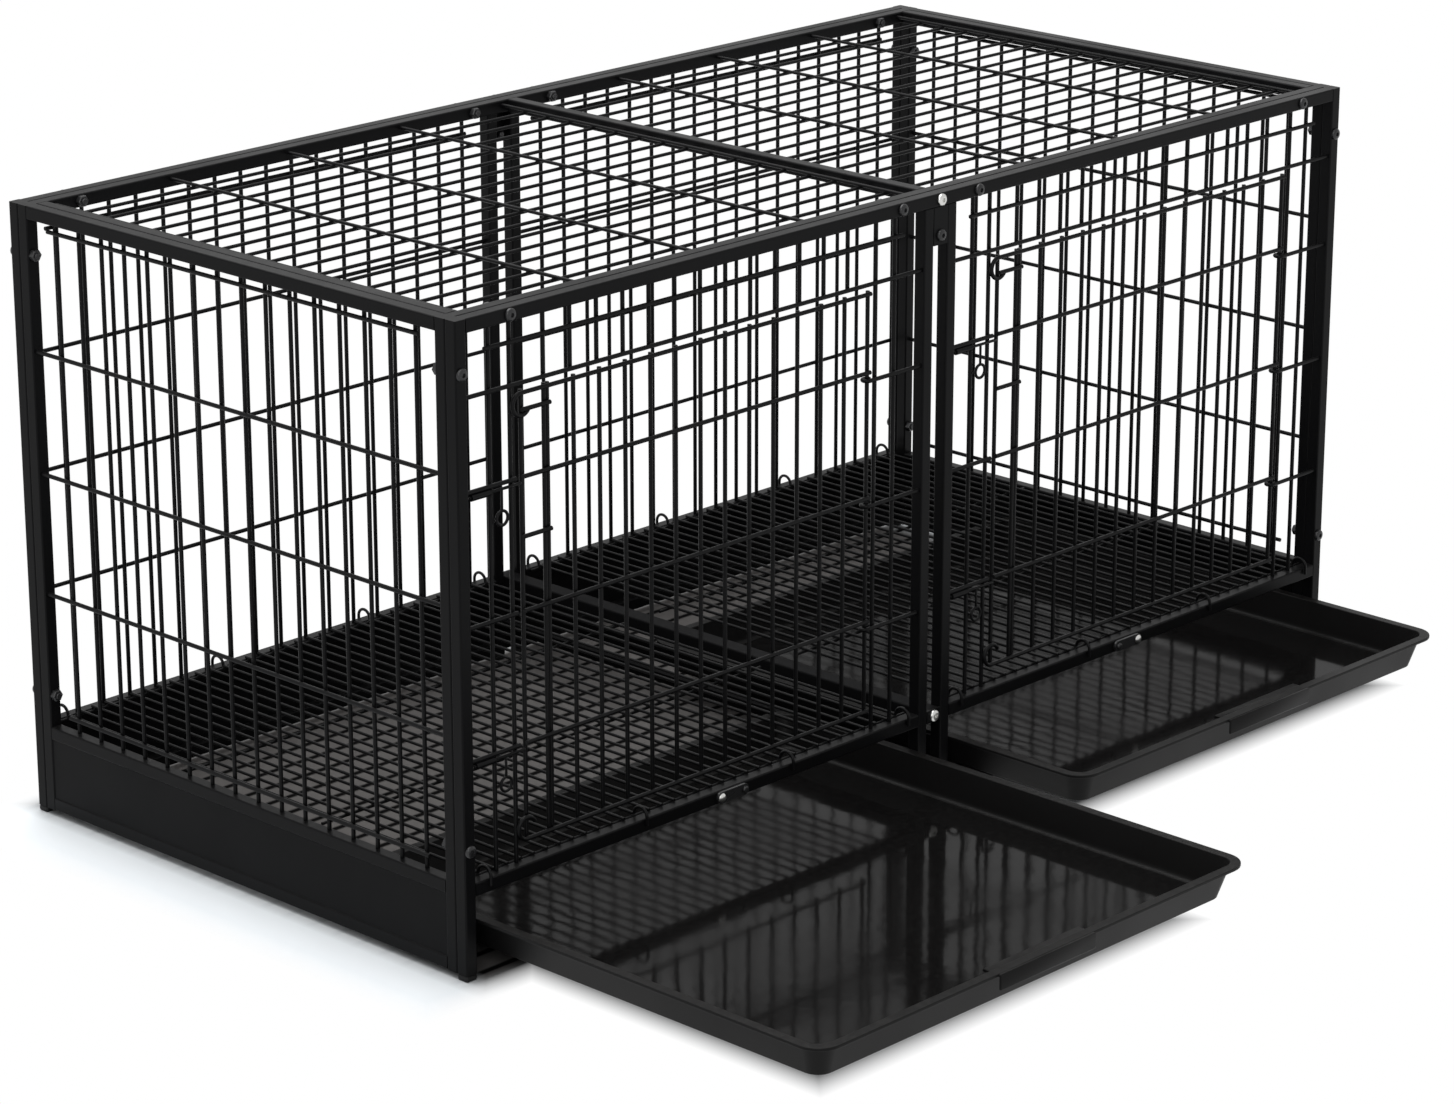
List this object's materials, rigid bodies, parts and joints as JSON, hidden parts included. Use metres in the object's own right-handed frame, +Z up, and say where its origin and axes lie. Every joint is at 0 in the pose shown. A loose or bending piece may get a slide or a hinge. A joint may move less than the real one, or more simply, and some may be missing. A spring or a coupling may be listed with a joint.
{
  "type": "modular pet cage",
  "caption": "Long low wire pet cage of square-tube panels with side-by-side bays, wire doors with slide bolts, wire floor grates and pull-out trays.",
  "frame": {"origin": "on the ground, in the middle of the feet", "axes": "+X along the length, towards the hinge side of the doors; +Y from the doors to the rear; +Z up"},
  "size_m": [1.22, 0.9993, 0.594],
  "materials": {
    "black_tube": "satin powder coat",
    "black_wire": "satin powder coat",
    "dark_fastener": "black oxide",
    "bright_steel": "bright zinc",
    "foot_plastic": "matt moulded",
    "tray_plastic": "glossy floor, satin walls"
  },
  "bodies": {
    "cage": {"feet": "foot_plastic", "floor_grate_left": "black_wire", "floor_grate_right": "black_wire", "front_floor_rail_left": "black_tube", "front_floor_rail_right": "black_tube", "front_left_post": "black_tube", "front_middle_posts": "black_tube", "front_right_post": "black_tube", "front_top_rail": "black_tube", "front_wires_left": "black_wire", "front_wires_right": "black_wire", "left_end_bottom_rail": "black_tube", "left_end_floor_rail": "black_tube", "left_end_front_post": "black_tube", "left_end_rear_post": "black_tube", "left_end_skirt": "black_tube", "left_end_top_rail": "black_tube", "left_end_wires": "black_wire", "lock_rivets": "bright_steel", "middle_floor_beam": "black_tube", "panel_bolts": "dark_fastener", "panel_nuts": "dark_fastener", "rear_bottom_rails": "black_tube", "rear_floor_rail_left": "black_tube", "rear_floor_rail_right": "black_tube", "rear_left_post": "black_tube", "rear_middle_posts": "black_tube", "rear_right_post": "black_tube", "rear_skirts": "black_tube", "rear_top_rail": "black_tube", "rear_wires_left": "black_wire", "rear_wires_right": "black_wire", "right_end_bottom_rail": "black_tube", "right_end_floor_rail": "black_tube", "right_end_front_post": "black_tube", "right_end_rear_post": "black_tube", "right_end_skirt": "black_tube", "right_end_top_rail": "black_tube", "right_end_wires": "black_wire", "slot_plates": "black_tube", "top_cross_bar": "black_tube", "top_front_rail": "black_tube", "top_left_rail": "black_tube", "top_rear_rail": "black_tube", "top_right_rail": "black_tube", "top_wires_left": "black_wire", "top_wires_right": "black_wire", "tray_runners": "black_tube"},
    "left_door": {"left_door": "black_wire"},
    "left_upper_bolt": {"left_upper_slide_bolt": "black_wire"},
    "left_lower_bolt": {"left_lower_slide_bolt": "black_wire"},
    "left_tray_lock": {"left_tray_lock": "black_tube"},
    "left_tray": {"left_tray": "tray_plastic"},
    "right_door": {"right_door": "black_wire"},
    "right_upper_bolt": {"right_upper_slide_bolt": "black_wire"},
    "right_lower_bolt": {"right_lower_slide_bolt": "black_wire"},
    "right_tray_lock": {"right_tray_lock": "black_tube"},
    "right_tray": {"right_tray": "tray_plastic"}
  },
  "joints": [
    {"name": "left_door_hinge", "type": "hinge", "parent": "cage", "child": "left_door", "pos_m": [-0.0902, -0.28785, 0.3], "axis": [0, 0, 1], "range_deg": [0, 120]},
    {"name": "left_upper_bolt_slide", "type": "slide", "parent": "cage", "child": "left_upper_bolt", "axis": [1, 0, 0], "range_m": [0, 0.014]},
    {"name": "left_lower_bolt_slide", "type": "slide", "parent": "cage", "child": "left_lower_bolt", "axis": [1, 0, 0], "range_m": [0, 0.014]},
    {"name": "left_tray_lock_turn", "type": "hinge", "parent": "cage", "child": "left_tray_lock", "pos_m": [-0.29375, -0.2965, 0.08365], "axis": [0, 1, 0], "range_deg": [0, 90]},
    {"name": "left_tray_slide", "type": "slide", "parent": "cage", "child": "left_tray", "axis": [0, 1, 0], "range_m": [-0.116, 0.404]},
    {"name": "right_door_hinge", "type": "hinge", "parent": "cage", "child": "right_door", "pos_m": [0.5293, -0.28785, 0.3], "axis": [0, 0, 1], "range_deg": [0, 120]},
    {"name": "right_upper_bolt_slide", "type": "slide", "parent": "cage", "child": "right_upper_bolt", "axis": [1, 0, 0], "range_m": [0, 0.014]},
    {"name": "right_lower_bolt_slide", "type": "slide", "parent": "cage", "child": "right_lower_bolt", "axis": [1, 0, 0], "range_m": [0, 0.014]},
    {"name": "right_tray_lock_turn", "type": "hinge", "parent": "cage", "child": "right_tray_lock", "pos_m": [0.30475, -0.2965, 0.08365], "axis": [0, -1, 0], "range_deg": [0, 90]},
    {"name": "right_tray_slide", "type": "slide", "parent": "cage", "child": "right_tray", "axis": [0, 1, 0], "range_m": [-0.353, 0.167]}
  ]
}
